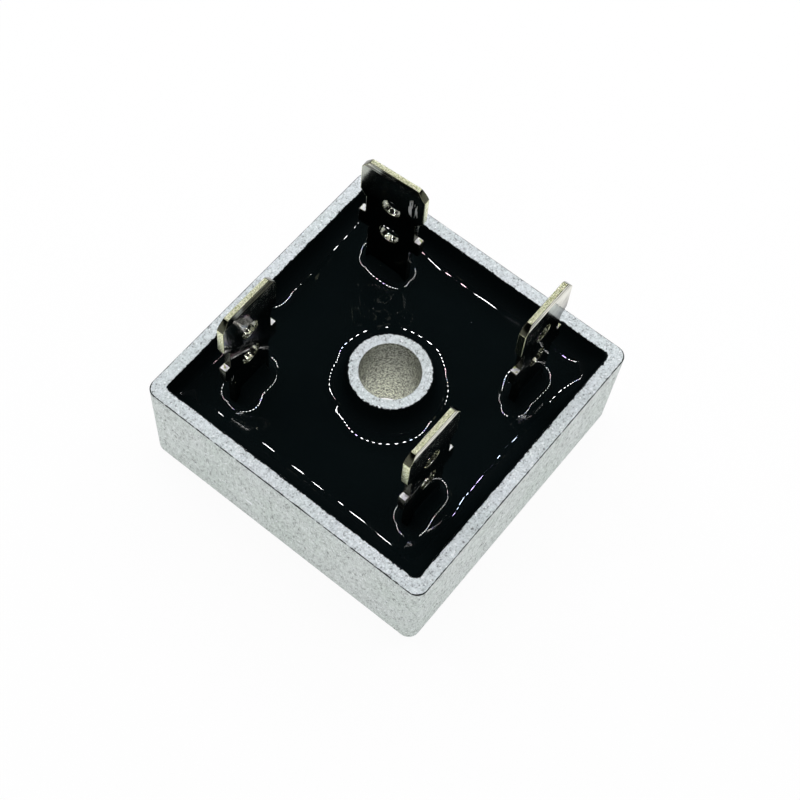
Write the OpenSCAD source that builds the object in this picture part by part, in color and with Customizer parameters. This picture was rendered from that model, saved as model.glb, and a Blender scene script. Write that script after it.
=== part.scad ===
// Bridge rectifier: a square die-cast case with a screw boss, four dice between lead
// frames, four upright quick-connect tabs, and potting resin over it all.
// Origin: centre of the base, on the axis of the screw hole. +Z points up along the tabs.

/* [Case] */
// Width and depth of the case at its rim
case_w = 28.5; // [27:0.1:32]
// Height of the case from base to rim
case_h = 10.2; // [9.4:0.1:14]
// Thickness of the side walls at the rim
wall = 1.25; // [0.9:0.05:1.6]
// Thickness of the case floor
floor_t = 1.8; // [1:0.1:2.4]
// How much narrower each side is at the base than at the rim
draft = 0.14; // [0.05:0.01:0.3]
// Radius of the upright outer corners
corner_r = 1.0; // [0.5:0.1:2]
// Radius of the upright inner corners
tray_r = 0.5; // [0.4:0.1:1.5]
// Depth of the broken edges on the rim and base
edge_break = 0.12; // [0.05:0.01:0.2]

/* [Screw boss] */
// Diameter of the screw hole
hole_d = 5.24; // [4.4:0.02:5.6]
// Depth of the countersink where the screw hole meets the base
hole_break = 0.3; // [0.1:0.05:0.5]
// Thickness of the boss wall round the hole
boss_wall = 0.98; // [0.7:0.02:1.2]

/* [Tabs] */
// Height of the tab tips above the base
tab_top = 21.7; // [20:0.1:25]
// Width of a tab where the receptacle slides on
tab_w = 6.2; // [5.6:0.05:6.4]
// Thickness of the tab strip
tab_t = 0.65; // [0.5:0.05:0.85]
// Distance from a tab's middle plane to the tray wall behind it
tab_from_wall = 4.1; // [3.6:0.05:4.5]
// Distance from a tab's centre line to the tray wall beside it
tab_from_side = 5.7; // [5.3:0.05:6]
// Width cut away at each tip corner
tip_cut_w = 0.72; // [0.4:0.02:1]
// Height cut away at each tip corner
tip_cut_h = 0.98; // [0.5:0.02:1.4]
// Height of the bevel on both faces of the tip
bevel_h = 0.6; // [0.3:0.05:0.9]
// Depth of the bevel on each face of the tip
bevel_t = 0.1; // [0.05:0.01:0.15]
// Length of the full-width blade, tip included
blade_len = 4.05; // [3.5:0.05:4.4]
// Height of the taper from blade to neck
taper_h = 0.7; // [0.4:0.05:1]
// Depth of the neck notch on each side
notch = 0.64; // [0.4:0.02:0.8]
// Distance from the tip to the stop shoulders
shoulder_drop = 7.05; // [6.4:0.05:7.4]
// Height of the stop shoulders
shoulder_h = 1.8; // [1.4:0.05:2.2]
// Width of the stem below the shoulders
stem_w = 4.25; // [3.4:0.05:4.6]
// Diameter of the upper hole
upper_hole_d = 1.74; // [1.2:0.02:2]
// Distance from the tip to the upper hole's centre
upper_hole_drop = 4.35; // [4:0.05:4.7]
// Diameter of the lower hole
lower_hole_d = 1.95; // [1.2:0.05:2.2]
// Distance from the tip to the lower hole's centre
lower_hole_drop = 8.2; // [7.9:0.05:8.6]
// Inner radius of the bend above the foot
bend_r = 0.4; // [0.2:0.05:0.6]
// How far the positive tab is turned out of square, in degrees
positive_turn = 3.5; // [0:0.5:5]
// How far the negative tab sits off its place along its width
negative_slip = 0.25; // [0:0.05:0.3]
// How far the left a.c. tab sits off its place along its width
ac_left_slip = 0.15; // [0:0.05:0.3]

/* [Lead frames] */
// Thickness of the lead frames
frame_t = 0.8; // [0.5:0.05:0.9]
// Clearance between the boss and the lead frames
frame_boss_gap = 1.9; // [1.2:0.05:2.4]
// Clearance between the tray wall and the lead frames
frame_wall_gap = 1.7; // [1.2:0.05:2]
// How far a lead frame runs past each die
frame_overhang = 0.4; // [0.2:0.05:0.8]
// Margin between a tab foot and the lead frame's outer edge
foot_margin = 0.25; // [0.1:0.05:0.5]
// Radius of the lead frame corners
frame_r = 0.5; // [0.2:0.1:0.8]

/* [Dice] */
// Side of a square diode die
die_w = 4.6; // [3.6:0.1:5]
// Thickness of a diode die
die_t = 0.3; // [0.2:0.02:0.4]
// Thickness of the solder on each face of a die
die_solder_t = 0.1; // [0.05:0.01:0.15]
// How far the solder stops short of the die edge
die_solder_inset = 0.25; // [0.1:0.05:0.5]
// Thickness of the solder under a tab foot
foot_solder_t = 0.15; // [0.1:0.01:0.2]
// How far the solder stops short of the foot edge
foot_solder_inset = 0.1; // [0.05:0.05:0.3]

/* [Insulation] */
// Thickness of the insulating sheet on the case floor
sheet_t = 0.4; // [0.25:0.05:0.6]
// Clearance from the insulating sheet to the tray wall and the boss
sheet_gap = 0.4; // [0.2:0.05:0.8]
// Distance of the resin surface below the rim
resin_drop = 2.6; // [1.8:0.1:3]
// Height that the resin creeps up the walls, the boss and the tabs
creep_h = 1.9; // [0.8:0.1:2.2]
// Distance over which the creep flattens out
creep_w = 2.2; // [1.2:0.1:2.6]

/* [Hidden] */
$fn = 96;
over = 1; // how far a cutter runs past the surface it cuts

tray_w = case_w - 2 * wall;
boss_r = hole_d / 2 + boss_wall;

frame_in = boss_r + frame_boss_gap;
frame_out = tray_w / 2 - frame_wall_gap;
frame_mid = (frame_in + frame_out) / 2;
frame_end = die_w / 2 + frame_overhang;

tab_far = tray_w / 2 - tab_from_wall;
tab_near = tray_w / 2 - tab_from_side;
foot_len = frame_out - foot_margin - (tab_far - tab_t / 2);

low_z = floor_t + sheet_t;
lower_solder_z = low_z + frame_t;
die_z = lower_solder_z + die_solder_t;
upper_solder_z = die_z + die_t;
high_z = upper_solder_z + die_solder_t;
low_foot_z = low_z + frame_t + foot_solder_t;
high_foot_z = high_z + frame_t + foot_solder_t;
resin_z = case_h - resin_drop;
creep_steps = 5;

// ---- shared shapes ----

module rounded_square(w, r) {
    flat = w - 2 * r;
    square([w, flat], center = true);
    square([flat, w], center = true);
    for (x = [-1, 1], y = [-1, 1])
        translate([x * flat / 2, y * flat / 2]) circle(r);
}

// A side view of the case, extruded along the other side
module drafted_slab() {
    top = case_w / 2;
    foot = top - draft;
    rotate([90, 0, 0])
        linear_extrude(case_w + 2 * over, center = true)
            polygon([
                [-foot + edge_break, 0], [foot - edge_break, 0], [foot, edge_break],
                [top, case_h - edge_break], [top - edge_break, case_h],
                [-top + edge_break, case_h], [-top, case_h - edge_break], [-foot, edge_break],
            ]);
}

// Height of the creeping resin at a distance from the surface that it wets
function creep(d) = creep_h * (1 - sqrt(1 - pow(1 - d / creep_w, 2)));
creep_curve = [for (i = [0 : creep_steps]) let (d = creep_w * i / creep_steps) [d, creep(d)]];

// ---- case ----

module case() {
    color("lightgray")
    difference() {
        intersection() {
            drafted_slab();
            rotate([0, 0, 90]) drafted_slab();
            linear_extrude(case_h) rounded_square(case_w, corner_r);
        }
        difference() {
            translate([0, 0, floor_t])
                linear_extrude(case_h) rounded_square(tray_w, tray_r);
            cylinder(h = case_h + over, r = boss_r);
        }
        translate([0, 0, -over]) cylinder(h = case_h + 2 * over, d = hole_d);
        translate([0, 0, -over])
            cylinder(h = hole_break + over, r1 = hole_d / 2 + hole_break + over, r2 = hole_d / 2);
    }
}

module base_insulation() {
    color("tan")
    translate([0, 0, floor_t])
        linear_extrude(sheet_t)
            difference() {
                rounded_square(tray_w - 2 * sheet_gap, tray_r);
                circle(boss_r + sheet_gap);
            }
}

// ---- tabs: width along X, foot towards +Y, middle plane on Y = 0 ----

// Front view of a tab, from the foot to the tip
module tab_outline(foot_z) {
    half = tab_w / 2;
    neck = half - notch;
    stem = stem_w / 2;
    shoulder_z = tab_top - shoulder_drop;
    right = [
        [stem, foot_z],
        [stem, shoulder_z - shoulder_h],
        [half, shoulder_z - shoulder_h],
        [half, shoulder_z],
        [neck, shoulder_z],
        [neck, tab_top - blade_len - taper_h],
        [half, tab_top - blade_len],
        [half, tab_top - tip_cut_h],
        [half - tip_cut_w, tab_top],
    ];
    count = len(right);
    polygon(concat(right, [for (i = [count - 1 : -1 : 0]) [-right[i][0], right[i][1]]]));
}

// Side view of a tab: the foot, the bend, and the strip up to its bevelled tip
module tab_section(foot_z) {
    front = -tab_t / 2;
    back = tab_t / 2;
    bend_y = back + bend_r;
    bend_z = foot_z + tab_t + bend_r;
    outer = [for (a = [270 : -15 : 180]) [bend_y, bend_z] + (bend_r + tab_t) * [cos(a), sin(a)]];
    inner = [for (a = [180 : 15 : 270]) [bend_y, bend_z] + bend_r * [cos(a), sin(a)]];
    polygon(concat(
        [[front + foot_len, foot_z]],
        outer,
        [
            [front, tab_top - bevel_h], [front + bevel_t, tab_top],
            [back - bevel_t, tab_top], [back, tab_top - bevel_h],
        ],
        inner,
        [[front + foot_len, foot_z + tab_t]]
    ));
}

module tab(foot_z) {
    reach = tab_w + foot_len + over;
    color("gainsboro")
    difference() {
        intersection() {
            rotate([90, 0, 0])
                linear_extrude(2 * reach, center = true) tab_outline(foot_z);
            rotate([90, 0, 90])
                linear_extrude(2 * reach, center = true) tab_section(foot_z);
        }
        translate([0, 0, tab_top - upper_hole_drop])
            rotate([90, 0, 0]) cylinder(h = tab_t + 2 * over, d = upper_hole_d, center = true);
        translate([0, 0, tab_top - lower_hole_drop])
            rotate([90, 0, 0]) cylinder(h = tab_t + 2 * over, d = lower_hole_d, center = true);
    }
}

module foot_solder(foot_z) {
    inner = bend_r + tab_t / 2 + foot_solder_inset;
    color("silver")
    translate([0, (inner + foot_len - tab_t / 2 - foot_solder_inset) / 2, foot_z - foot_solder_t / 2])
        cube(
            [
                stem_w - 2 * foot_solder_inset,
                foot_len - tab_t / 2 - foot_solder_inset - inner,
                foot_solder_t,
            ],
            center = true
        );
}

// The resin that creeps up round one tab
module tab_creep() {
    module ridge(half) {
        side = [for (p = creep_curve) [half + p[0], p[1]]];
        count = len(side);
        linear_extrude(2 * (tab_w + creep_w), center = true)
            polygon(concat(side, [for (i = [count - 1 : -1 : 0]) [-side[i][0], side[i][1]]]));
    }
    translate([0, 0, resin_z])
        intersection() {
            rotate([90, 0, 0]) ridge(stem_w / 2);
            rotate([90, 0, 90]) ridge(tab_t / 2);
        }
}

// Puts what stands at the origin in the place of one tab
module at_positive() {
    translate([tab_far, tab_near, 0]) rotate([0, 0, -90 + positive_turn]) children();
}
module at_ac_left() {
    translate([-tab_near - ac_left_slip, tab_far, 0]) children();
}
module at_negative() {
    translate([-tab_near + negative_slip, -tab_far, 0]) rotate([0, 0, 180]) children();
}
module at_ac_right() {
    translate([tab_near, -tab_far, 0]) rotate([0, 0, 180]) children();
}

// ---- lead frames and dice; turn is the quarter turn from the positive corner or right side ----

module lead_frame(turn, z) {
    length = frame_end + frame_out;
    width = frame_out - frame_in;
    color("peru")
    rotate([0, 0, 90 * turn])
        translate([0, 0, z])
            linear_extrude(frame_t)
                difference() {
                    translate([(frame_out - frame_end) / 2, (frame_out - frame_end) / 2])
                        rounded_square(length, frame_r);
                    translate([frame_in - length, frame_in - length]) square(length);
                }
}

module on_side(turn, z) {
    rotate([0, 0, 90 * turn]) translate([frame_mid, 0, z]) children();
}

module die(turn) {
    color("dimgray")
    on_side(turn, die_z)
        translate([-die_w / 2, -die_w / 2, 0]) cube([die_w, die_w, die_t]);
}

module die_solder(turn, z) {
    pad_w = die_w - 2 * die_solder_inset;
    color("silver")
    on_side(turn, z)
        translate([-pad_w / 2, -pad_w / 2, 0]) cube([pad_w, pad_w, die_solder_t]);
}

// ---- potting ----

module wall_creep() {
    edge = tray_w / 2;
    for (turn = [0 : 3])
        rotate([0, 0, 90 * turn])
            translate([0, 0, resin_z])
                rotate([90, 0, 0])
                    linear_extrude(tray_w + 2 * over, center = true)
                        polygon(concat(
                            [[edge + over, 0], [edge + over, creep_h], [edge, creep_h]],
                            [for (p = creep_curve) [edge - p[0], p[1]]]
                        ));
}

module boss_creep() {
    translate([0, 0, resin_z])
        rotate_extrude()
            polygon(concat(
                [[boss_r - boss_wall / 2, 0], [boss_r - boss_wall / 2, creep_h]],
                [for (p = creep_curve) [boss_r + p[0], p[1]]]
            ));
}

module resin_fill() {
    intersection() {
        linear_extrude(case_h) rounded_square(tray_w, tray_r);
        union() {
            translate([-tray_w / 2, -tray_w / 2, floor_t])
                cube([tray_w, tray_w, resin_z - floor_t]);
            wall_creep();
            boss_creep();
            at_positive() tab_creep();
            at_ac_left() tab_creep();
            at_negative() tab_creep();
            at_ac_right() tab_creep();
        }
    }
}

module potting() {
    color("black")
    difference() {
        resin_fill();
        cylinder(h = case_h + over, r = boss_r);
        base_insulation();
        tab_positive();
        tab_ac_left();
        tab_negative();
        tab_ac_right();
        at_positive() foot_solder(low_foot_z);
        at_ac_left() foot_solder(high_foot_z);
        at_negative() foot_solder(low_foot_z);
        at_ac_right() foot_solder(high_foot_z);
        for (turn = [0 : 3]) {
            lead_frame(turn, turn % 2 == 0 ? low_z : high_z);
            die(turn);
            die_solder(turn, lower_solder_z);
            die_solder(turn, upper_solder_z);
        }
    }
}

module tab_positive() at_positive() tab(low_foot_z);
module tab_ac_left() at_ac_left() tab(high_foot_z);
module tab_negative() at_negative() tab(low_foot_z);
module tab_ac_right() at_ac_right() tab(high_foot_z);

case();
base_insulation();
potting();
tab_positive();
tab_ac_left();
tab_negative();
tab_ac_right();
lead_frame(0, low_z);  // lead_frame_positive
lead_frame(1, high_z);  // lead_frame_ac_left
lead_frame(2, low_z);  // lead_frame_negative
lead_frame(3, high_z);  // lead_frame_ac_right
die(0);  // die_right
die(1);  // die_back
die(2);  // die_left
die(3);  // die_front
die_solder(0, lower_solder_z);  // lower_solder_right
die_solder(1, lower_solder_z);  // lower_solder_back
die_solder(2, lower_solder_z);  // lower_solder_left
die_solder(3, lower_solder_z);  // lower_solder_front
die_solder(0, upper_solder_z);  // upper_solder_right
die_solder(1, upper_solder_z);  // upper_solder_back
die_solder(2, upper_solder_z);  // upper_solder_left
die_solder(3, upper_solder_z);  // upper_solder_front
at_positive() foot_solder(low_foot_z);  // foot_solder_positive
at_ac_left() foot_solder(high_foot_z);  // foot_solder_ac_left
at_negative() foot_solder(low_foot_z);  // foot_solder_negative
at_ac_right() foot_solder(high_foot_z);  // foot_solder_ac_right
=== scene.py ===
import math
import random

import bmesh
import bpy
import numpy as np
from mathutils import Euler, Matrix, Vector
from mathutils.geometry import delaunay_2d_cdt


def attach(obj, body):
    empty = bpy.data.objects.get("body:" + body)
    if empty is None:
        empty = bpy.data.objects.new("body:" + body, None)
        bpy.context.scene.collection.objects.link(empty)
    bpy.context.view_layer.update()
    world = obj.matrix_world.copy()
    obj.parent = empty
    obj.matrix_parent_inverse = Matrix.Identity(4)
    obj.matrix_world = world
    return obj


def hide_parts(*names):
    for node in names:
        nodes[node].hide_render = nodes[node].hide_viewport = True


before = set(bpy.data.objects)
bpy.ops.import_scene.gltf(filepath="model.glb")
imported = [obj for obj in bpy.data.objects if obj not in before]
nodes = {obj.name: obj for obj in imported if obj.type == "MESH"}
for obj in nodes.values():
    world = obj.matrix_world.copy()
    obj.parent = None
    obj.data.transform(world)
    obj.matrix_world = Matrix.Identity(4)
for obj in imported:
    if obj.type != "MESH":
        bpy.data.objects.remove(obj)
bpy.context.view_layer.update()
scene = bpy.context.scene
scene.view_settings.view_transform = "Standard"
mm = 0.001
quarterArc = [math.radians(a) for a in (0, 30, 60, 90)]  # the steps of every broken edge
print("rectifier frame loaded,", len(nodes), "nodes")

camera = {
    "place": (-56.29, -36.42, 134.70),  # mm
    "turn": (27.198, -3.368, -51.509),  # degrees
    "lens": 77.15, "sensor": 36,  # mm
    "nearest": 0.005, "farthest": 5,  # m
}


def setCamera(c):
    data = bpy.data.cameras.new("benchCamera")
    data.sensor_width = c["sensor"]
    data.lens = c["lens"]
    data.clip_start = c["nearest"]
    data.clip_end = c["farthest"]
    obj = bpy.data.objects.new("benchCamera", data)
    obj.location = Vector(c["place"]) * mm
    obj.rotation_euler = Euler([math.radians(a) for a in c["turn"]])
    scene.collection.objects.link(obj)
    scene.camera = obj


setCamera(camera)
print("camera set")


class Shade:  # short ways to add shader nodes, with sizes in mm
    def __init__(self, name, isWorld=False):
        self.owner = (bpy.data.worlds if isWorld else bpy.data.materials).new(name)
        self.owner.use_nodes = True
        self.tree = self.owner.node_tree
        self.tree.nodes.clear()
        self.out = self.add("ShaderNodeOutputWorld" if isWorld else "ShaderNodeOutputMaterial")
        self.coord = self.add("ShaderNodeTexCoord").outputs["Object"]

    def put(self, socket, value):
        if isinstance(value, bpy.types.NodeSocket):
            self.tree.links.new(value, socket)
        else:
            socket.default_value = value

    def add(self, kind, inputs=None, **settings):
        node = self.tree.nodes.new(kind)
        for key, value in settings.items():
            setattr(node, key, value)
        for key, value in (inputs or {}).items():
            self.put(node.inputs[key], value)
        return node

    def noise(self, size, detail=2.0, rough=0.5, vector=None):
        return self.add("ShaderNodeTexNoise", {
            "Vector": vector or self.coord, "Scale": 1000 / size, "Detail": detail, "Roughness": rough,
        }).outputs["Fac"]

    def cells(self, size, vector=None):
        inputs = {"Vector": vector or self.coord, "Scale": 1000 / size}
        return self.add("ShaderNodeTexVoronoi", inputs).outputs

    def ramp(self, fac, stops):
        node = self.add("ShaderNodeValToRGB", {"Fac": fac})
        ramp = node.color_ramp
        while len(ramp.elements) < len(stops):
            ramp.elements.new(0.5)
        for element, (place, colour) in zip(ramp.elements, stops):
            element.position = place
            element.color = (*colour, 1)
        return node.outputs["Color"]

    def span(self, value, low, high, toLow=0.0, toHigh=1.0):
        return self.add("ShaderNodeMapRange", {
            "Value": value, "From Min": low, "From Max": high, "To Min": toLow, "To Max": toHigh,
        }).outputs["Result"]

    def math(self, kind, a, b=0.0):
        return self.add("ShaderNodeMath", {0: a, 1: b}, operation=kind).outputs[0]

    def vector(self, kind, a, b=(0, 0, 0)):
        node = self.add("ShaderNodeVectorMath", {0: a, 1: b}, operation=kind)
        return node.outputs["Value" if kind == "LENGTH" else "Vector"]

    def mix(self, share, a, b, blend="MIX"):
        node = self.add("ShaderNodeMix", data_type="RGBA", blend_type=blend)
        for index, value in ((0, share), (6, a), (7, b)):
            self.put(node.inputs[index], (*value, 1) if isinstance(value, tuple) else value)
        return node.outputs[2]

    def bump(self, height, strength, depth, normal=None):
        inputs = {"Height": height, "Strength": strength, "Distance": depth * mm}
        if normal:
            inputs["Normal"] = normal
        return self.add("ShaderNodeBump", inputs).outputs["Normal"]

    def stretch(self, scale):
        return self.add("ShaderNodeMapping", {"Vector": self.coord, "Scale": scale}).outputs[0]

    def axis(self, letter, vector=None):
        return self.add("ShaderNodeSeparateXYZ", {"Vector": vector or self.coord}).outputs[letter]

    def slant(self):  # 1 on a level face, 0 on an upright one
        return self.axis("Z", self.add("ShaderNodeNewGeometry").outputs["Normal"])

    def reach(self, middle, scale):  # distance from a place, with each axis scaled
        away = self.vector("SUBTRACT", self.coord, tuple(v * mm for v in middle))
        return self.vector("LENGTH", self.vector("MULTIPLY", away, scale))

    def finish(self, shader):
        self.tree.links.new(shader.outputs[0], self.out.inputs["Surface"])
        return self.owner

    def surface(self, inputs):
        return self.finish(self.add("ShaderNodeBsdfPrincipled", inputs))


def paint(node, material):
    mesh = nodes[node].data
    mesh.materials.clear()
    mesh.materials.append(material)


def addPiece(name, data, replaced):
    obj = bpy.data.objects.new(name, data)
    scene.collection.objects.link(obj)
    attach(obj, "root")
    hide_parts(replaced)
    return obj


case = {
    "half": 14.25, "draft": 0.14, "height": 10.2, "edge": 0.12, "corner": 1.0,  # mm, as all sizes here
    "trayHalf": 13.0, "trayCorner": 0.5, "floor": 1.8, "bossRadius": 3.6, "holeRadius": 2.62,
    "countersink": 0.3, "trayEdge": 0.08, "bossEdge": 0.07, "holeEdge": 0.06,
    "flatSteps": 176, "cornerSteps": 10,  # mesh steps along each side and round each corner
    "row": 0.55, "boreRow": 0.3, "trayRows": (9.9, 9.6, 9.2, 8.6, 7.6, 6, 4), "rimSteps": 9, "bossSteps": 8,
    "grit": 0.15, "lump": 0.39, "pitCell": 0.42, "glintCell": 0.13, "stainPatch": 5.0, "boreGrain": 0.17,
    "tatterWide": 1.3, "tatterFine": 0.28, "tongueWide": 2.6, "tongueFine": 0.22, "tongue": (0.04, 0.22),
    "bump": 0.5, "metallic": 0.25, "boreMetallic": 0.9, "rough": (0.62, 0.45),
    "dark": (0.20, 0.21, 0.215), "body": (0.60, 0.63, 0.635), "light": (0.80, 0.83, 0.84),
    "stain": (0.93, 0.96, 0.93), "sidePaintedLightTint": (0.97, 1.0, 0.965), "rimPaintedLightTint": (0.955, 0.99, 1.0),
    "glintAndNick": (0.95, 0.99, 1.0), "resinAndEdgeShade": (0.012, 0.015, 0.016),
    "nick": (-14.18, 3.2, 3.35), "nickScale": (1, 0.55, 1.6), "nickSize": (0.28, 0.40), "nickWobble": 0.22,
    "borePaintedLight": (0.95, 0.97, 0.80), "borePaintedShade": (0.66, 0.68, 0.62), "speck": (0.12, 0.12, 0.10),
}


def castTone(s, c, grain, grit, lump):
    pits = s.math("ADD", s.cells(c["pitCell"], grain)["Distance"], s.math("MULTIPLY", grit, 0.35))
    pits = s.span(pits, 0.20, 0.30, 1.0, 0.0)
    mottle = s.math("ADD", s.math("MULTIPLY", grit, 0.6), s.math("MULTIPLY", lump, 0.4))
    tone = s.ramp(mottle, [(0.33, c["dark"]), (0.43, c["body"]), (0.60, c["light"])])
    tone = s.mix(s.math("MULTIPLY", pits, 0.6), tone, c["dark"])
    tone = s.mix(s.span(s.noise(c["stainPatch"], 3, 0.5), 0.35, 0.7), tone, c["stain"], "MULTIPLY")
    # painted light: the upright sides get a warm tint and the level rim a cool one, by which way each face looks
    sideWithPaintedLight = s.mix(1.0, tone, c["sidePaintedLightTint"], "MULTIPLY")
    rimWithPaintedLight = s.mix(1.0, tone, c["rimPaintedLightTint"], "MULTIPLY")
    tone = s.mix(s.span(s.slant(), 0.5, 0.9), sideWithPaintedLight, rimWithPaintedLight)
    # painted highlight: scattered near-white flecks stand in for the glints of the metal
    glintAndNick = s.axis("X", s.cells(c["glintCell"], grain)["Color"])
    return s.mix(s.span(glintAndNick, 0.92, 0.97, 0.0, 0.7), tone, c["glintAndNick"])


def borePaintedLightAndSpecks(s, c):
    # painted light and shade: the bore is painted lit near its foot and shaded towards its top, with specks over
    # it
    tone = s.mix(s.span(s.axis("Z"), 1 * mm, 8.5 * mm), c["borePaintedLight"], c["borePaintedShade"])
    return s.mix(s.span(s.noise(c["boreGrain"], 2, 0.6), 0.42, 0.58, 0.85, 0.0), tone, c["speck"])


def edgeShadeAndResinShare(s, c):  # the broken dark line along the rim edges: painted shade on the outer edge, and the black resin that creeps over the inner tray and boss edges
    edgeShadeAndResin = s.add("ShaderNodeAttribute", attribute_name="edgeShadeAndResin").outputs["Fac"]
    fine = s.math("MULTIPLY", s.noise(c["tatterFine"], 2, 0.6), 1.2)
    tatter = s.math("ADD", s.noise(c["tatterWide"], 2, 0.6), fine)
    return s.span(s.math("ADD", edgeShadeAndResin, s.math("SUBTRACT", tatter, 1.1)), 0.46, 0.62)


def nickShare(s, c):
    inside, outside = c["nickSize"]
    wobble = s.span(s.noise(0.5, 2, 0.6), 0.3, 0.7, -c["nickWobble"] * mm, c["nickWobble"] * mm)
    reach = s.math("ADD", s.reach(c["nick"], c["nickScale"]), wobble)
    return s.span(reach, inside * mm, outside * mm, 1.0, 0.0)


def creepShare(s, c, level, radius):  # tongues of resin that run over the inner rim edge
    square = (c["trayHalf"] - c["trayCorner"]) * mm
    past = s.vector("SUBTRACT", s.vector("ABSOLUTE", level), (square, square, 0))
    past = s.vector("LENGTH", s.vector("MAXIMUM", past))
    fromTray = s.math("SUBTRACT", past, c["trayCorner"] * mm)
    fromBoss = s.math("SUBTRACT", c["bossRadius"] * mm, radius)
    short, long = c["tongue"]
    tongue = s.span(s.noise(c["tongueWide"], 2, 0.5), 0.3, 0.7, short * mm, long * mm)
    tongue = s.math("MULTIPLY", s.span(s.noise(c["tongueFine"], 2, 0.6), 0.42, 0.66), tongue)
    gap = s.math("SUBTRACT", s.math("MAXIMUM", fromTray, fromBoss), tongue)
    share = s.span(gap, 0.03 * mm, 0.07 * mm, 1.0, 0.0)
    return s.math("MULTIPLY", share, s.span(s.axis("Z"), 1 * mm, c["floor"] * mm))  # none under the base


def castMetal(c):
    s = Shade("castMetal")
    grain = s.stretch((1, 1, 0.6))
    grit = s.noise(c["grit"], 2, 0.55, grain)
    lump = s.noise(c["lump"], 2, 0.5, grain)
    level = s.vector("MULTIPLY", s.coord, (1, 1, 0))
    radius = s.vector("LENGTH", level)
    bore = s.span(radius, (c["holeRadius"] + 0.01) * mm, (c["holeRadius"] + 0.05) * mm, 1.0, 0.0)
    creep = creepShare(s, c, level, radius)
    tone = s.mix(bore, castTone(s, c, grain, grit, lump), borePaintedLightAndSpecks(s, c))
    # near black along the rim edges: painted shade on the outer edge, creeping resin on the inner ones
    tone = s.mix(edgeShadeAndResinShare(s, c), tone, c["resinAndEdgeShade"])
    tone = s.mix(nickShare(s, c), tone, c["glintAndNick"])
    tone = s.mix(creep, tone, c["resinAndEdgeShade"])
    metallic = s.math("MAXIMUM", s.math("MULTIPLY", bore, c["boreMetallic"]), creep)
    normal = s.bump(lump, c["bump"] * 0.7, c["grit"] * 0.8)
    return s.surface({
        "Base Color": tone, "Metallic": s.math("MAXIMUM", metallic, c["metallic"]),
        "Roughness": s.span(grit, 0.3, 0.7, *c["rough"]),
        "Normal": s.bump(grit, c["bump"], c["grit"] * 0.5, normal),
    })


def squareRing(half, radius, c):
    flat = half - radius
    n, m = c["flatSteps"], c["cornerSteps"]
    side = [(half, flat * (2 * i / n - 1)) for i in range(n)]
    turns = [math.pi / 2 * i / m for i in range(m)]
    side += [(flat + radius * math.cos(t), flat + radius * math.sin(t)) for t in turns]
    return [(q * x - r * y, r * x + q * y) for q, r in ((1, 0), (0, 1), (-1, 0), (0, -1)) for x, y in side]


def roundRing(radius, guide):
    return [(radius * x / math.hypot(x, y), radius * y / math.hypot(x, y)) for x, y in guide]


def caseRings(c):
    guide = squareRing(c["half"], c["corner"], c)
    top, floor, half, e = c["height"], c["floor"], c["half"], c["edge"]
    tray, boss, hole = c["trayHalf"], c["bossRadius"], c["holeRadius"]
    trayEdge, bossEdge, holeEdge = c["trayEdge"], c["bossEdge"], c["holeEdge"]
    foot = half - c["draft"]
    rings = []  # points, height, share of the dark edge line (painted shade on the outer edge, resin on the inner ones)

    def square(half, corner, z, edgeShadeAndResin=0.0):
        rings.append((squareRing(half, corner, c), z, edgeShadeAndResin))

    def circle(radius, z, edgeShadeAndResin=0.0):
        rings.append((roundRing(radius, guide), z, edgeShadeAndResin))

    for radius in (hole + c["countersink"], 6, 10):  # the base
        circle(radius, 0)
    for a in quarterArc:
        square(foot - e * (1 - math.sin(a)), c["corner"], e * (1 - math.cos(a)))
    rows = int((top - 2 * e) / c["row"])
    for i in range(1, rows):  # the outer wall
        t = i / rows
        square(foot + c["draft"] * t, c["corner"], e + (top - 2 * e) * t)
    # painted shade along the outer rim edge
    for a, edgeShadeAndResin in zip(quarterArc, (0.0, 0.8, 0.75, 0.1)):
        square(half - e * (1 - math.cos(a)), c["corner"], top - e * (1 - math.sin(a)), edgeShadeAndResin)
    wide = half - e - tray - trayEdge
    for i in range(1, c["rimSteps"]):  # the rim
        t = i / c["rimSteps"]
        square(half - e - wide * t, c["corner"] + (c["trayCorner"] - c["corner"]) * t, top)
    for a, edgeShadeAndResin in zip(quarterArc, (0.55, 0.8, 1.0, 1.0)):
        z = top - trayEdge * (1 - math.cos(a))
        square(tray + trayEdge * (1 - math.sin(a)), c["trayCorner"], z, edgeShadeAndResin)
    for z in (*c["trayRows"], floor):  # down the tray wall, across its floor and up the boss
        square(tray, c["trayCorner"], z)
    for radius in (10, 7, 5):
        circle(radius, floor)
    for z in (floor, *reversed(c["trayRows"])):
        circle(boss, z)
    for a, edgeShadeAndResin in zip(quarterArc, (1.0, 1.0, 0.7, 0.5)):
        circle(boss - bossEdge * (1 - math.cos(a)), top - bossEdge * (1 - math.sin(a)), edgeShadeAndResin)
    for i in range(1, c["bossSteps"]):
        circle(boss - bossEdge - (boss - hole - bossEdge - holeEdge) * i / c["bossSteps"], top)
    for a in quarterArc:
        circle(hole + holeEdge * (1 - math.sin(a)), top - holeEdge * (1 - math.cos(a)))
    rows = int((top - 0.4) / c["boreRow"])
    for i in range(1, rows + 1):  # down the fixing hole
        circle(hole, top - holeEdge - (top - holeEdge - c["countersink"]) * i / rows)
    return rings


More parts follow.
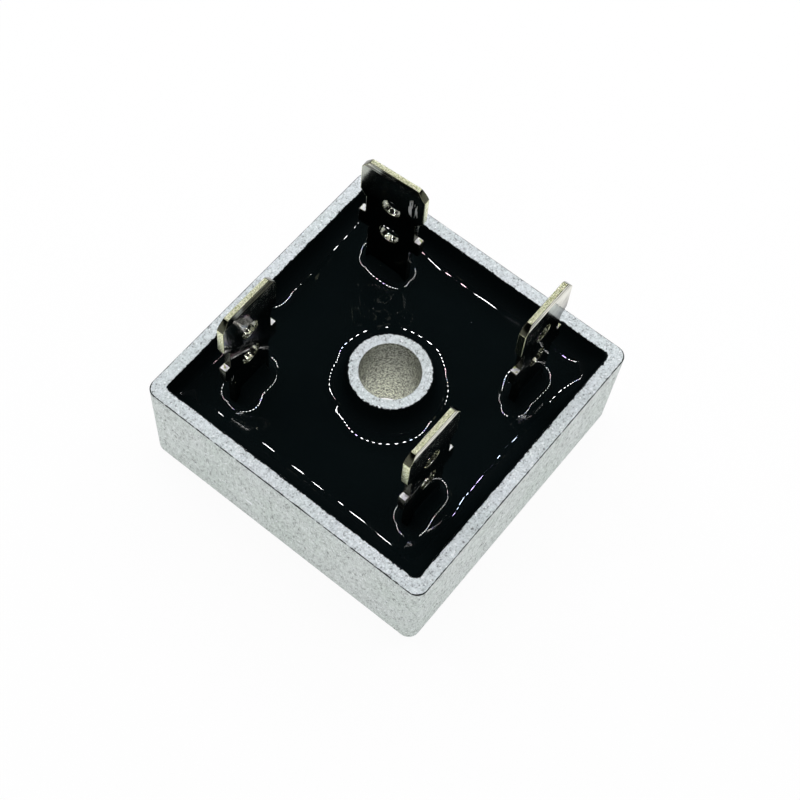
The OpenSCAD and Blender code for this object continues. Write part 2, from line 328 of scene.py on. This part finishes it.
def caseBody(c):
    rings = caseRings(c)
    total, count = len(rings), len(rings[0][0])
    faces = []
    for i in range(total):
        for j in range(count):
            k, m = (i + 1) % total, (j + 1) % count
            faces.append((i * count + j, k * count + j, k * count + m, i * count + m))
    data = bpy.data.meshes.new("castCase")
    data.from_pydata([(x * mm, y * mm, z * mm) for points, z, _ in rings for x, y in points], [], faces)
    edgeShadeAndResin = data.attributes.new("edgeShadeAndResin", "FLOAT", "POINT")
    edgeShadeAndResin.data.foreach_set("value", np.repeat([share for _, _, share in rings], count).astype(np.float32))
    mesh = bmesh.new()
    mesh.from_mesh(data)
    bmesh.ops.recalc_face_normals(mesh, faces=mesh.faces)
    for f in mesh.faces:
        f.smooth = True
    mesh.to_mesh(data)
    mesh.free()
    data.materials.append(castMetal(c))
    return data


castCase = addPiece("castCase", caseBody(case), "case")
print("case cast,", len(castCase.data.polygons), "faces")

tab = {
    "top": 21.7, "width": 6.2, "thick": 0.65, "edge": 0.05, "tipCut": (0.72, 0.98), "tipRound": 0.42,
    "bevel": (0.6, 0.1), "blade": 4.05, "taper": 0.7, "notch": 0.64, "shoulderDrop": 7.05, "shoulder": 1.8,
    "stem": 4.25, "foot": 2.26, "bend": 0.4, "neckRound": 0.3, "shoulderRound": 0.1, "ledgeRound": 0.12,
    "holes": ((4.35, 1.74), (8.2, 1.95)), "holeSides": 48,  # drop from the tip and diameter
    "plate": (0.80, 0.79, 0.70), "dull": (0.66, 0.65, 0.56),
    "cut": (0.92, 0.93, 0.70), "torn": (0.44, 0.47, 0.24),
    "creaseStreakAndNeckShade": (0.08, 0.08, 0.075), "shade": (0.035, 0.035, 0.033), "shadedSlope": (0.02, 0.02, 0.018),
    "ear": (0.95, 0.96, 0.95), "bore": (0.30, 0.31, 0.27),
    "drift": 1.8, "rolled": 0.10, "smear": 0.9, "creaseStreaks": 0.16, "shadeLine": 1.6, "reflectionStreaks": 0.34,
    "tear": 0.11, "chip": 0.5, "burr": 0.45,  # grain sizes
    "neckZ": 16.9, "shadeLow": 17.6, "shadeHigh": 20.4,
    "reflectionPlace": (8.7, 5.2, 19.1), "reflectionScale": (1.8, 1.5, 0.75),
}
tabPlaces = {  # middle of each stem in mm, its turn in degrees, and the underside of its foot
    "positive": (8.9, 7.3, -86.5, 3.15),
    "acLeft": (-7.45, 8.9, 0.0, 3.65),
    "negative": (-7.05, -8.9, 180.0, 3.15),
    "acRight": (7.3, -8.9, 180.0, 3.65),
}
tabNodes = {
    "positive": "tab_positive", "acLeft": "tab_ac_left",
    "negative": "tab_negative", "acRight": "tab_ac_right",
}


def platedFace(c):
    s = Shade("platedFace")
    rolled = s.noise(c["rolled"], 2, 0.6, s.stretch((1, 1, 0.08)))
    smear = s.span(s.noise(c["smear"], 4, 0.65), 0.52, 0.72)
    tone = s.mix(s.noise(c["drift"], 3, 0.5), c["plate"], c["dull"])
    crease = c["top"] - c["bevel"][0]
    # dark upright streaks in a thin band just under the bevel crease
    creaseStreaks = s.span(s.noise(c["creaseStreaks"], 2, 0.6, s.stretch((0.04, 0.04, 1))), 0.42, 0.56)
    leadIn = s.span(s.axis("Z"), (crease - 0.25) * mm, crease * mm)
    tone = s.mix(s.math("MULTIPLY", leadIn, s.math("MULTIPLY", creaseStreaks, 0.75)), tone, c["creaseStreakAndNeckShade"])
    # painted shade: the blade faces are darkened below a wavy line, where they mirror the black resin
    shadeLine = s.math("ADD", s.axis("Z"), s.span(s.noise(c["shadeLine"], 3, 0.6), 0.3, 0.7, -0.6 * mm, 0.6 * mm))
    tone = s.mix(s.span(shadeLine, c["shadeLow"] * mm, c["shadeHigh"] * mm, 0.96, 0.0), tone, c["shade"])
    # bright upright streaks painted on the positive blade, a painted reflection
    reflectionStreaks = s.span(s.noise(c["reflectionStreaks"], 2, 0.6, s.stretch((1, 1, 0.16))), 0.52, 0.60)
    near = s.span(s.reach(c["reflectionPlace"], c["reflectionScale"]), 0.75 * mm, 1.05 * mm, 1.0, 0.0)
    paintedReflection = s.math("MULTIPLY", reflectionStreaks, near)
    rough = s.math("ADD", s.span(rolled, 0.3, 0.7, 0.07, 0.12), s.math("MULTIPLY", smear, 0.12))
    return s.surface({
        "Base Color": s.mix(paintedReflection, tone, c["ear"]), "Metallic": 1.0,
        "Roughness": s.math("MAXIMUM", rough, s.math("MULTIPLY", paintedReflection, 0.6)),
        "Normal": s.bump(rolled, 0.06, 0.006),
    })


def platedCut(c):
    s = Shade("platedCut")
    tear = s.noise(c["tear"], 3, 0.6)
    slant = s.slant()
    up = s.span(slant, 0.84, 0.95)
    # painted shade: the sloping rounds of the cut edges are painted near black
    shadedSlope = s.math("MULTIPLY", s.span(slant, 0.2, 0.4), s.span(slant, 0.8, 0.9, 1.0, 0.0))
    belowNeck = s.span(s.axis("Z"), c["neckZ"] * mm, (c["neckZ"] - 0.3) * mm)
    rough = s.math("ADD", s.span(tear, 0.3, 0.7, 0.14, 0.24), s.math("MULTIPLY", up, 0.26))
    tone = s.mix(s.span(tear, 0.40, 0.60), c["cut"], c["torn"])
    # painted shade: the cut faces below the neck that do not face up are darkened almost to black
    low = s.math("MULTIPLY", belowNeck, s.span(slant, 0.3, 0.7, 1.0, 0.0))
    tone = s.mix(s.math("MULTIPLY", low, 0.9), tone, c["creaseStreakAndNeckShade"])
    tone = s.mix(s.math("MULTIPLY", shadedSlope, s.span(tear, 0.30, 0.55, 1.0, 0.85)), tone, c["shadedSlope"])
    earTone = s.mix(s.span(s.noise(c["chip"], 2, 0.6), 0.40, 0.46), c["torn"], c["ear"])
    return s.surface({
        "Base Color": s.mix(s.math("MULTIPLY", belowNeck, up), tone, earTone), "Metallic": 1.0,
        "Roughness": s.math("SUBTRACT", rough, s.math("MULTIPLY", shadedSlope, 0.11)),
        "Normal": s.bump(tear, s.math("SUBTRACT", 0.35, s.math("MULTIPLY", shadedSlope, 0.3)), 0.03),
    })


def punchedBore(c):
    s = Shade("punchedBore")
    burr = s.span(s.noise(c["burr"], 3, 0.7), 0.54, 0.62)
    return s.surface({
        "Base Color": s.mix(burr, c["bore"], c["cut"]), "Metallic": 1.0,
        "Roughness": s.span(burr, 0.0, 1.0, 0.09, 0.40), "Normal": s.bump(burr, 0.2, 0.02),
    })


def roundedCorner(a, b, d, radius, steps=4):
    a, b, d = Vector(a), Vector(b), Vector(d)
    u, v = (a - b).normalized(), (d - b).normalized()
    half = u.angle(v) / 2
    reach = min(radius / math.tan(half), (a - b).length * 0.48, (d - b).length * 0.48)
    centre = b + (u + v).normalized() * (reach / math.cos(half))
    start, end = b + u * reach - centre, b + v * reach - centre
    turn = start.angle_signed(end)
    spin = [(math.cos(i / steps * turn), math.sin(i / steps * turn)) for i in range(steps + 1)]
    return [centre + Vector((start.x * p + start.y * q, -start.x * q + start.y * p)) for p, q in spin]


def tabOutline(c, low):
    half, top, stem = c["width"] / 2, c["top"], c["stem"] / 2
    neck, ledge = half - c["notch"], top - c["shoulderDrop"]
    under = ledge - c["shoulder"]
    right = [  # across, height, rounding
        (stem, low, 0), (stem, under, c["shoulderRound"]), (half, under, c["shoulderRound"]),
        (half, ledge, c["ledgeRound"]), (neck, ledge, c["ledgeRound"]),
        (neck, top - c["blade"] - c["taper"], c["neckRound"]), (half, top - c["blade"], c["neckRound"]),
        (half, top - c["tipCut"][1], c["tipRound"]), (half - c["tipCut"][0], top, c["tipRound"]),
    ]
    ring = right + [(-x, z, r) for x, z, r in reversed(right)]
    points = []
    for i, (x, z, r) in enumerate(ring):
        before, after = ring[i - 1], ring[(i + 1) % len(ring)]
        points += roundedCorner(before[:2], (x, z), after[:2], r) if r else [Vector((x, z))]
    return points


def inset(points, amount):
    made = []
    for i, p in enumerate(points):
        u = (p - points[i - 1]).normalized()
        v = (points[(i + 1) % len(points)] - p).normalized()
        n = Vector((-u.y - v.y, u.x + v.x))
        n.normalize()
        made.append(p + n * amount / max(0.5, n.dot(Vector((-u.y, u.x)))))
    return made


def blankStrip(mesh, c, low):  # the flat strip with its holes, its edges broken on both faces
    loops = [tabOutline(c, low)]
    turns = [2 * math.pi * i / c["holeSides"] for i in range(c["holeSides"])]
    for drop, wide in c["holes"]:
        r, z = wide / 2, c["top"] - drop
        loops.append([Vector((r * math.cos(t), z - r * math.sin(t))) for t in turns])
    half, e = c["thick"] / 2, c["edge"]
    steps = [(e * (1 - math.sin(a)), half - e * (1 - math.cos(a))) for a in quarterArc]
    levels = [(gap, -depth) for gap, depth in steps] + [(gap, depth) for gap, depth in reversed(steps)]
    for gap, depth in (levels[0], levels[-1]):
        rims = []
        for loop in loops:
            ring = [mesh.verts.new((p.x, depth, p.y)) for p in inset(loop, gap)]
            rims += [mesh.edges.new((ring[i - 1], ring[i])) for i in range(len(ring))]
        bmesh.ops.triangle_fill(mesh, edges=rims, use_beauty=True)
    for k, loop in enumerate(loops):
        rings = [[mesh.verts.new((p.x, depth, p.y)) for p in inset(loop, gap)] for gap, depth in levels]
        for j, (one, two) in enumerate(zip(rings, rings[1:])):
            finish = 2 if k and j == 3 else 1  # 0 face, 1 cut edge, 2 bore
            for i in range(len(one)):
                mesh.faces.new((one[i - 1], one[i], two[i], two[i - 1])).material_index = finish
    bmesh.ops.remove_doubles(mesh, verts=mesh.verts, dist=1e-4)


def pressTip(mesh, c):
    tall, deep = c["bevel"]
    crease = c["top"] - tall
    parts = mesh.verts[:] + mesh.edges[:] + mesh.faces[:]
    bmesh.ops.bisect_plane(mesh, geom=parts, plane_co=(0, 0, crease), plane_no=(0, 0, 1))
    for v in mesh.verts:
        if v.co.z > crease:
            v.co.y *= 1 - deep / (c["thick"] / 2) * (v.co.z - crease) / tall


def bendFoot(mesh, c, footZ, low):  # the bent foot, sealed in the resin
    half, inner = c["thick"] / 2, c["bend"]
    outer, by = inner + c["thick"], half + inner
    arc = [math.radians(a) for a in range(180, 271, 15)]
    section = [(by + outer * math.cos(a), low + outer * math.sin(a)) for a in arc]
    section += [(-half + c["foot"], footZ), (-half + c["foot"], footZ + c["thick"])]
    section += [(by + inner * math.cos(a), low + inner * math.sin(a)) for a in reversed(arc)]
    ends = [[mesh.verts.new((u, y, z)) for y, z in section] for u in (-c["stem"] / 2, c["stem"] / 2)]
    for i in range(len(section)):
        mesh.faces.new((ends[0][i - 1], ends[0][i], ends[1][i], ends[1][i - 1]))
    mesh.faces.new(ends[0])
    mesh.faces.new(ends[1])


def tabBody(c, place):
    cx, cy, turn, footZ = place
    low = footZ + c["thick"] + c["bend"]
    mesh = bmesh.new()
    blankStrip(mesh, c, low)
    pressTip(mesh, c)
    bendFoot(mesh, c, footZ, low)
    bmesh.ops.recalc_face_normals(mesh, faces=mesh.faces)
    spin = Matrix.Rotation(math.radians(turn), 4, "Z")
    stand = Matrix.Scale(mm, 4) @ Matrix.Translation((cx, cy, 0)) @ spin
    bmesh.ops.transform(mesh, matrix=stand, verts=mesh.verts)
    data = bpy.data.meshes.new("tabBlade")
    mesh.to_mesh(data)
    mesh.free()
    for polygon in data.polygons:
        polygon.use_smooth = polygon.material_index != 0
    return data


tabFinishes = [platedFace(tab), platedCut(tab), punchedBore(tab)]
for name, place in tabPlaces.items():
    data = tabBody(tab, place)
    for material in tabFinishes:
        data.materials.append(material)
    addPiece(name + "Blade", data, tabNodes[name])
print("tabs blanked and bent")

inner = {  # colour, metallic, roughness and grain in mm of each hidden finish
    "rolledCopper": ((0.80, 0.36, 0.20), 1.0, 0.35, 0.12),
    "reflowedSolder": ((0.55, 0.56, 0.57), 1.0, 0.4, 0.2),
    "lappedSilicon": ((0.10, 0.11, 0.13), 0.4, 0.3, 0.08),
    "insulatingSheet": ((0.78, 0.62, 0.38), 0.0, 0.55, 0.15),
}


def innerFinish(name):
    colour, metallic, roughness, grain = inner[name]
    s = Shade(name)
    fine = s.noise(grain, 3, 0.6)
    wide = s.noise(grain * 9, 2, 0.5)
    return s.surface({
        "Base Color": s.mix(s.span(wide, 0.3, 0.7, 0.0, 0.6), colour, tuple(v * 0.72 for v in colour)),
        "Metallic": metallic, "Roughness": s.span(fine, 0.3, 0.7, roughness * 0.8, roughness * 1.2),
        "Normal": s.bump(fine, 0.3, grain * 0.3),
    })


finishes = {name: innerFinish(name) for name in inner}
for name in nodes:
    if name.startswith("lead_frame"):
        paint(name, finishes["rolledCopper"])
    elif "solder" in name:
        paint(name, finishes["reflowedSolder"])
    elif name.startswith("die"):
        paint(name, finishes["lappedSilicon"])
    elif name == "base_insulation":
        paint(name, finishes["insulatingSheet"])
print("inner pieces painted")

resin = {
    "trayHalf": 13.0, "cornerRadius": 0.5, "bossRadius": 3.6, "stem": (1.55, 0.325),
    "floor": 1.8, "level": 7.55,
    "skinStep": 0.1, "rounds": 500, "spread": 1.25,  # spread: how far the creep reaches before it dies away
    "wallRise": {"right": 0.95, "back": 1.15, "left": 1.7, "front": 1.8}, "bossRise": 1.15, "stemRise": 1.15,
    "frontFade": (9.5, 3),  # where the front's rise sets in, and over how far
    "backFade": (-1, 2, 0.15),  # the same for the back, and its least share
    "steepRise": 1.1, "steepWidth": 0.17, "filmWidth": 0.05, "filmTop": 10.09, "stemFilmTop": 9.6,
    "lumps": (  # place, height and width of each swelling
        (-4.9, 2.9, 0.12, 0.9), (4.7, 5.6, 0.07, 0.7), (5.5, 4.1, 0.06, 0.6), (12.9, -12.9, 0.75, 1.25),
    ),
    "ripple": 0.006, "ripples": ((1, 0.9, 0.4, 0), (1, 0.5, -1.1, 2), (0.5, 2.1, 1.7, 0)),
    "ragged": ((0.05, 5.1, 3.3), (0.04, -8.1, 9.7), (0.035, 17.3, 21.1)),
    "rows": (  # how far from a wall each row of mesh points runs
        -0.04, 0.0, 0.012, 0.025, 0.038, 0.052, 0.08, 0.12, 0.17, 0.23, 0.3, 0.38,
        0.47, 0.57, 0.68, 0.8, 0.93, 1.07, 1.22, 1.38, 1.55, 1.73, 1.92, 2.12,
    ),
    "traySpacing": 0.16, "bossSpacing": 0.14, "stemSpacing": 0.11,
    "openSpacing": 0.2, "openHalf": 12.4, "openGap": 2.2,
    "steep": 0.92,  # a slope below this is finished as film
    "dust": (0.16, 0.18, 0.19), "dustCell": 2.4, "dustSize": 0.05, "hazeSize": 3.5,
    "colour": (0.0020, 0.0040, 0.0046), "cloud": (0.0030, 0.0054, 0.0058),
}
creepPlaces = {  # where the resin climbs round each stem
    "positive": (9.15, 7.45, -84.0),
    "acLeft": (-7.35, 8.9, 0.0),
    "negative": (-6.95, -8.95, 180.0),
    "acRight": (7.05, -8.95, 180.0),
}


def wallGap(x, y):
    r = resin["cornerRadius"]
    dx, dy = resin["trayHalf"] - np.abs(x), resin["trayHalf"] - np.abs(y)
    return np.where((dx < r) & (dy < r), r - np.hypot(r - dx, r - dy), np.minimum(dx, dy))


def bossGap(x, y):
    return np.hypot(x, y) - resin["bossRadius"]


def stemGap(place, x, y):
    cx, cy, turn = place
    a = math.radians(turn)
    u = (x - cx) * math.cos(a) + (y - cy) * math.sin(a)
    v = -(x - cx) * math.sin(a) + (y - cy) * math.cos(a)
    qx, qy = np.abs(u) - resin["stem"][0], np.abs(v) - resin["stem"][1]
    return np.hypot(np.maximum(qx, 0), np.maximum(qy, 0)) + np.minimum(np.maximum(qx, qy), 0)


# the slow part of the creep is worked out once on a grid, as the skin of a liquid that wets its walls
skinStep = resin["skinStep"]
skinCount = int(2 * resin["trayHalf"] / skinStep) + 5


def liquidSkin():
    line = (np.arange(skinCount) - (skinCount - 1) / 2) * skinStep
    x, y = np.meshgrid(line, line, indexing="ij")
    rise = resin["wallRise"]
    start, length = resin["frontFade"]
    front = rise["right"] + (rise["front"] - rise["right"]) * np.clip((start - x) / length, 0, 1)
    start, length, least = resin["backFade"]
    back = rise["back"] * np.clip((x - start) / length, least, 1)
    sides, ends = np.where(x > 0, rise["right"], rise["left"]), np.where(y > 0, back, front)
    held = np.where(wallGap(x, y) <= 0, np.where(np.abs(x) > np.abs(y), sides, ends), np.nan)
    held[bossGap(x, y) <= 0] = resin["bossRise"]
    for place in creepPlaces.values():
        held[stemGap(place, x, y) <= 0] = resin["stemRise"]
    wet = ~np.isnan(held)
    pull = (skinStep / resin["spread"]) ** 2
    h = np.where(wet, held, 0.0)
    for _ in range(resin["rounds"]):
        around = np.roll(h, 1, 0) + np.roll(h, -1, 0) + np.roll(h, 1, 1) + np.roll(h, -1, 1)
        h = np.where(wet, held, around / (4 + pull))
    return h


skin = liquidSkin()


def cubic(t):  # smooth weights between four grid points
    near, far = 3 * t ** 3 - 6 * t ** 2 + 4, -3 * t ** 3 + 3 * t ** 2 + 3 * t + 1
    return np.stack([(1 - t) ** 3, near, far, t ** 3]) / 6


def skinHeight(x, y):
    half = (skinCount - 1) / 2
    i, j = x / skinStep + half, y / skinStep + half
    i0 = np.clip(np.floor(i).astype(int), 1, skinCount - 3)
    j0 = np.clip(np.floor(j).astype(int), 1, skinCount - 3)
    wi, wj = cubic(np.clip(i - i0, 0, 1)), cubic(np.clip(j - j0, 0, 1))
    return sum(wi[a] * wj[b] * skin[i0 + a - 1, j0 + b - 1] for a in range(4) for b in range(4))


def resinHeight(x, y):
    z = resin["level"] + skinHeight(x, y)
    for share, alongX, alongY, phase in resin["ripples"]:
        z += resin["ripple"] * share * np.sin(alongX * x + alongY * y + phase)
    for lx, ly, tall, wide in resin["lumps"]:
        z += tall * np.exp(-((x - lx) ** 2 + (y - ly) ** 2) / wide ** 2)
    ragged = sum(tall * np.sin(alongX * x + alongY * y) for tall, alongX, alongY in resin["ragged"])
    gaps = [(wallGap(x, y), resin["filmTop"]), (bossGap(x, y), resin["filmTop"])]
    gaps += [(stemGap(p, x, y), resin["stemFilmTop"]) for p in creepPlaces.values()]
    for gap, _ in gaps:
        z = z + resin["steepRise"] * np.exp(-np.maximum(gap, 0) / resin["steepWidth"])
    for gap, top in gaps:
        share = np.clip(1 - gap / resin["filmWidth"], 0, 1)
        z = np.where(share > 0, z + (np.maximum(top + ragged, z) - z) * share, z)
    return np.minimum(z, resin["filmTop"] + 0.1)


def ringSquare(gap, step):
    half = resin["trayHalf"] - gap
    r = resin["cornerRadius"] + 0.8 * max(gap, 0)  # corners open out away from the wall
    flat = half - r
    n, m = int(2 * flat / step), max(3, int(r * math.pi / 2 / step))
    side = [(half, flat * (2 * i / n - 1)) for i in range(n)]
    turns = [math.pi / 2 * i / m for i in range(m)]
    side += [(flat + r * math.cos(t), flat + r * math.sin(t)) for t in turns]
    return [(c * x - s * y, s * x + c * y) for c, s in ((1, 0), (0, 1), (-1, 0), (0, -1)) for x, y in side]


def ringRound(gap, step):
    r = resin["bossRadius"] + gap
    n = int(2 * math.pi * r / step)
    return [(r * math.cos(2 * math.pi * i / n), r * math.sin(2 * math.pi * i / n)) for i in range(n)]


def ringStem(place, gap, step):
    cx, cy, turn = place
    a = math.radians(turn)
    hu, hv = (v + min(gap, 0.0) for v in resin["stem"])
    r = max(gap, 0.0)
    points = []
    corners = [(hu, hv, 0), (-hu, hv, 90), (-hu, -hv, 180), (hu, -hv, 270)]
    for k, (u, v, start) in enumerate(corners):
        n = max(1, int(r * math.pi / 2 / step))
        for i in range(n + 1):
            t = math.radians(start + 90 * i / n)
            points.append((u + r * math.cos(t), v + r * math.sin(t)))
        nu, nv, _ = corners[(k + 1) % 4]
        ex, ey = r * math.cos(math.radians(start + 90)), r * math.sin(math.radians(start + 90))
        n = max(2, int(math.hypot(nu - u, nv - v) / step))
        points += [(u + ex + (nu - u) * i / n, v + ey + (nv - v) * i / n) for i in range(1, n)]
    p, q = math.cos(a), math.sin(a)
    return [(cx + u * p - v * q, cy + u * q + v * p) for u, v in points]


def nearest(x, y):
    gap = np.minimum(wallGap(x, y), bossGap(x, y))
    for place in creepPlaces.values():
        gap = np.minimum(gap, stemGap(place, x, y))
    return gap


def resinPoints():
    points = []
    for gap in resin["rows"]:
        row = ringSquare(gap, resin["traySpacing"]) + ringRound(gap, resin["bossSpacing"])
        for place in creepPlaces.values():
            row += ringStem(place, gap, resin["stemSpacing"])
        row = np.array(row)
        points.append(row[nearest(row[:, 0], row[:, 1]) > gap - 0.03])
    step, half = resin["openSpacing"], resin["openHalf"]
    line = np.arange(-half, half, step)
    x, y = np.meshgrid(line, line)
    x[::2] += step / 2
    x, y = x.ravel(), y.ravel()
    points.append(np.stack([x, y], 1)[nearest(x, y) > resin["openGap"]])
    return np.concatenate(points)


def leanOf(place):  # the exact normal at each point of the skin
    x, y, step = place[:, 0], place[:, 1], 0.01
    slopeX = (resinHeight(x + step, y) - resinHeight(x - step, y)) / (2 * step)
    slopeY = (resinHeight(x, y + step) - resinHeight(x, y - step)) / (2 * step)
    lean = np.stack([-slopeX, -slopeY, np.ones(len(place))], 1)
    return lean / np.linalg.norm(lean, axis=1)[:, None]


def resinBody():
    verts, _, faces, *_ = delaunay_2d_cdt([Vector(p) for p in resinPoints()], [], [], 0, 1e-4)
    place = np.array([(v.x, v.y) for v in verts])
    middle = place[np.array([list(f) for f in faces])].mean(1)
    keep = nearest(middle[:, 0], middle[:, 1]) > -0.035
    mesh = bmesh.new()
    layer = mesh.verts.layers.float_vector.new("lean")
    top = []
    for (x, y), z, n in zip(place, resinHeight(place[:, 0], place[:, 1]), leanOf(place)):
        v = mesh.verts.new((x * mm, y * mm, z * mm))
        v[layer] = n
        top.append(v)
    for face, kept in zip(faces, keep):
        if kept:
            mesh.faces.new([top[i] for i in face]).smooth = True
    bmesh.ops.delete(mesh, geom=[v for v in mesh.verts if not v.link_faces], context="VERTS")
    edge = [e for e in mesh.edges if len(e.link_faces) == 1]
    skirt = bmesh.ops.extrude_edge_only(mesh, edges=edge)["geom"]
    for v in (g for g in skirt if isinstance(g, bmesh.types.BMVert)):
        v.co.z = resin["floor"] * mm
        v[layer] = (0, 0, 0)
    edge = [e for e in mesh.edges if len(e.link_faces) == 1]
    bmesh.ops.triangle_fill(mesh, edges=edge, use_beauty=False)
    bmesh.ops.recalc_face_normals(mesh, faces=mesh.faces)
    data = bpy.data.meshes.new("pottingResin")
    mesh.to_mesh(data)
    mesh.free()
    lean = [v.vector.copy() for v in data.attributes["lean"].data]
    for polygon in data.polygons:
        slope = sum(lean[i].z for i in polygon.vertices) / len(polygon.vertices)
        polygon.material_index = 1 if slope < resin["steep"] else 0
    data.normals_split_custom_set_from_vertices(lean)
    data.attributes.remove(data.attributes["lean"])
    return data


def resinGloss(c):
    s = Shade("pottingGloss")
    haze = s.noise(c["hazeSize"], 4, 0.6)
    specks = s.cells(c["dustCell"])
    chosen = s.span(s.axis("X", specks["Color"]), 0.80, 0.81)
    reach = c["dustSize"] / c["dustCell"]
    fleck = s.math("MULTIPLY", chosen, s.span(specks["Distance"], reach, reach * 1.6, 1.0, 0.0))
    return s.surface({
        "Base Color": s.mix(fleck, s.mix(haze, c["colour"], c["cloud"]), c["dust"]), "IOR": 1.5,
        "Roughness": s.span(haze, 0.35, 0.75, 0.012, 0.03),
    })


def resinFilm(c):
    s = Shade("pottingFilm")
    haze = s.noise(c["hazeSize"], 4, 0.6)
    return s.surface({
        "Base Color": s.mix(haze, c["colour"], c["cloud"]), "IOR": 1.5,
        "Roughness": s.span(haze, 0.35, 0.75, 0.36, 0.38), "Specular IOR Level": 0.02,
    })


potting = addPiece("pottingResin", resinBody(), "potting")
potting.data.materials.append(resinGloss(resin))
potting.data.materials.append(resinFilm(resin))
print("resin poured,", len(potting.data.polygons), "faces")

light = {
    "aim": (0.3918, 0.2535, 0.8845), "start": (0, 0, 7.6), "distance": 260,
    "side": 160, "near": 110, "far": 92,  # half sizes of the lamp loop
    "beads": (25, 14, 25, 13), "unlit": (2, 12), "bead": 2.5, "power": 0.028,
    "tints": ((1, 1, 1),) * 8 + ((0.66, 0.52, 1.0), (1.0, 0.70, 0.78), (0.66, 0.78, 1.0)),
    "sky": 0.8, "zenith": 0.012, "fade": (0.10, 0.22),
}


def seenShare(s):  # 1 for what is looked at, mirrored or seen through, 0 for the light on the part
    path = s.add("ShaderNodeLightPath").outputs
    seen = s.math("MAXIMUM", path["Is Camera Ray"], path["Is Glossy Ray"])
    return s.math("MAXIMUM", seen, path["Is Transmission Ray"])


def lightTent(c):
    s = Shade("lightTent", isWorld=True)
    up = s.axis("Z", s.add("ShaderNodeTexCoord").outputs["Generated"])
    low, high = c["fade"]
    fade = s.add("ShaderNodeMapRange", {
        "Value": up, "From Min": low, "From Max": high, "To Min": 1.0, "To Max": c["zenith"],
    }, interpolation_type="SMOOTHSTEP").outputs["Result"]
    strength = s.add("ShaderNodeMix", {0: seenShare(s), 2: c["sky"], 3: fade}).outputs[0]
    scene.world = s.finish(s.add("ShaderNodeBackground", {"Strength": strength}))


def beadLamps(c):
    kinds = []
    for tint in c["tints"]:
        data = bpy.data.lights.new("bead", "POINT")
        data.shadow_soft_size = c["bead"] * mm
        data.energy = c["power"]
        data.color = tint
        kinds.append(data)
    return kinds


def beadLoop(c):
    aim = Vector(c["aim"]).normalized()
    side = Vector((-aim.y, aim.x, 0)).normalized()
    lift = aim.cross(side)
    if lift.z < 0:
        lift.negate()
    middle = Vector(c["start"]) + aim * c["distance"]
    wide, near, far = c["side"], c["near"], c["far"]
    corners = [(-wide, near), (wide, near), (wide, -far), (-wide, -far)]
    kinds = beadLamps(c)
    random.seed(5)
    count = 0
    for k, n in enumerate(c["beads"]):
        (a0, b0), (a1, b1) = corners[k], corners[(k + 1) % 4]
        for i in range(n):
            if (k, i) == c["unlit"]:
                continue
            t = (i + 0.5) / n
            lamp = bpy.data.objects.new("bead", random.choice(kinds))
            lamp.location = (middle + side * (a0 + (a1 - a0) * t) + lift * (b0 + (b1 - b0) * t)) * mm
            scene.collection.objects.link(lamp)
            count += 1
    return count


bench = {
    "half": 1.5, "drop": 0.03 * mm,  # m
    "glow": 0.93, "mottle": 40, "paper": (0.86, 0.86, 0.86), "fibre": (0.90, 0.90, 0.90),
}


def floorSlab(c):
    mesh = bpy.data.meshes.new("benchTop")
    half, z = c["half"], -c["drop"]
    corners = [(-half, -half, z), (half, -half, z), (half, half, z), (-half, half, z)]
    mesh.from_pydata(corners, [], [(0, 1, 2, 3)])
    obj = bpy.data.objects.new("benchTop", mesh)
    scene.collection.objects.link(obj)
    s = Shade("benchPaper")
    share = s.math("MULTIPLY", seenShare(s), c["glow"])
    paper = s.add("ShaderNodeBsdfDiffuse", {"Color": s.mix(s.noise(c["mottle"], 2, 0.5), c["paper"], c["fibre"])})
    glow = s.add("ShaderNodeEmission", {"Color": (1, 1, 1, 1), "Strength": 1.0})
    blend = s.add("ShaderNodeMixShader", {0: share, 1: paper.outputs[0], 2: glow.outputs[0]})
    under = s.add("ShaderNodeNewGeometry").outputs["Backfacing"]  # clear from below, so that the base shows
    clear = s.add("ShaderNodeBsdfTransparent")
    sheer = s.add("ShaderNodeMixShader", {0: under, 1: blend.outputs[0], 2: clear.outputs[0]})
    mesh.materials.append(s.finish(sheer))


lightTent(light)
print(beadLoop(light), "light beads hung")
floorSlab(bench)
print("bench top laid")
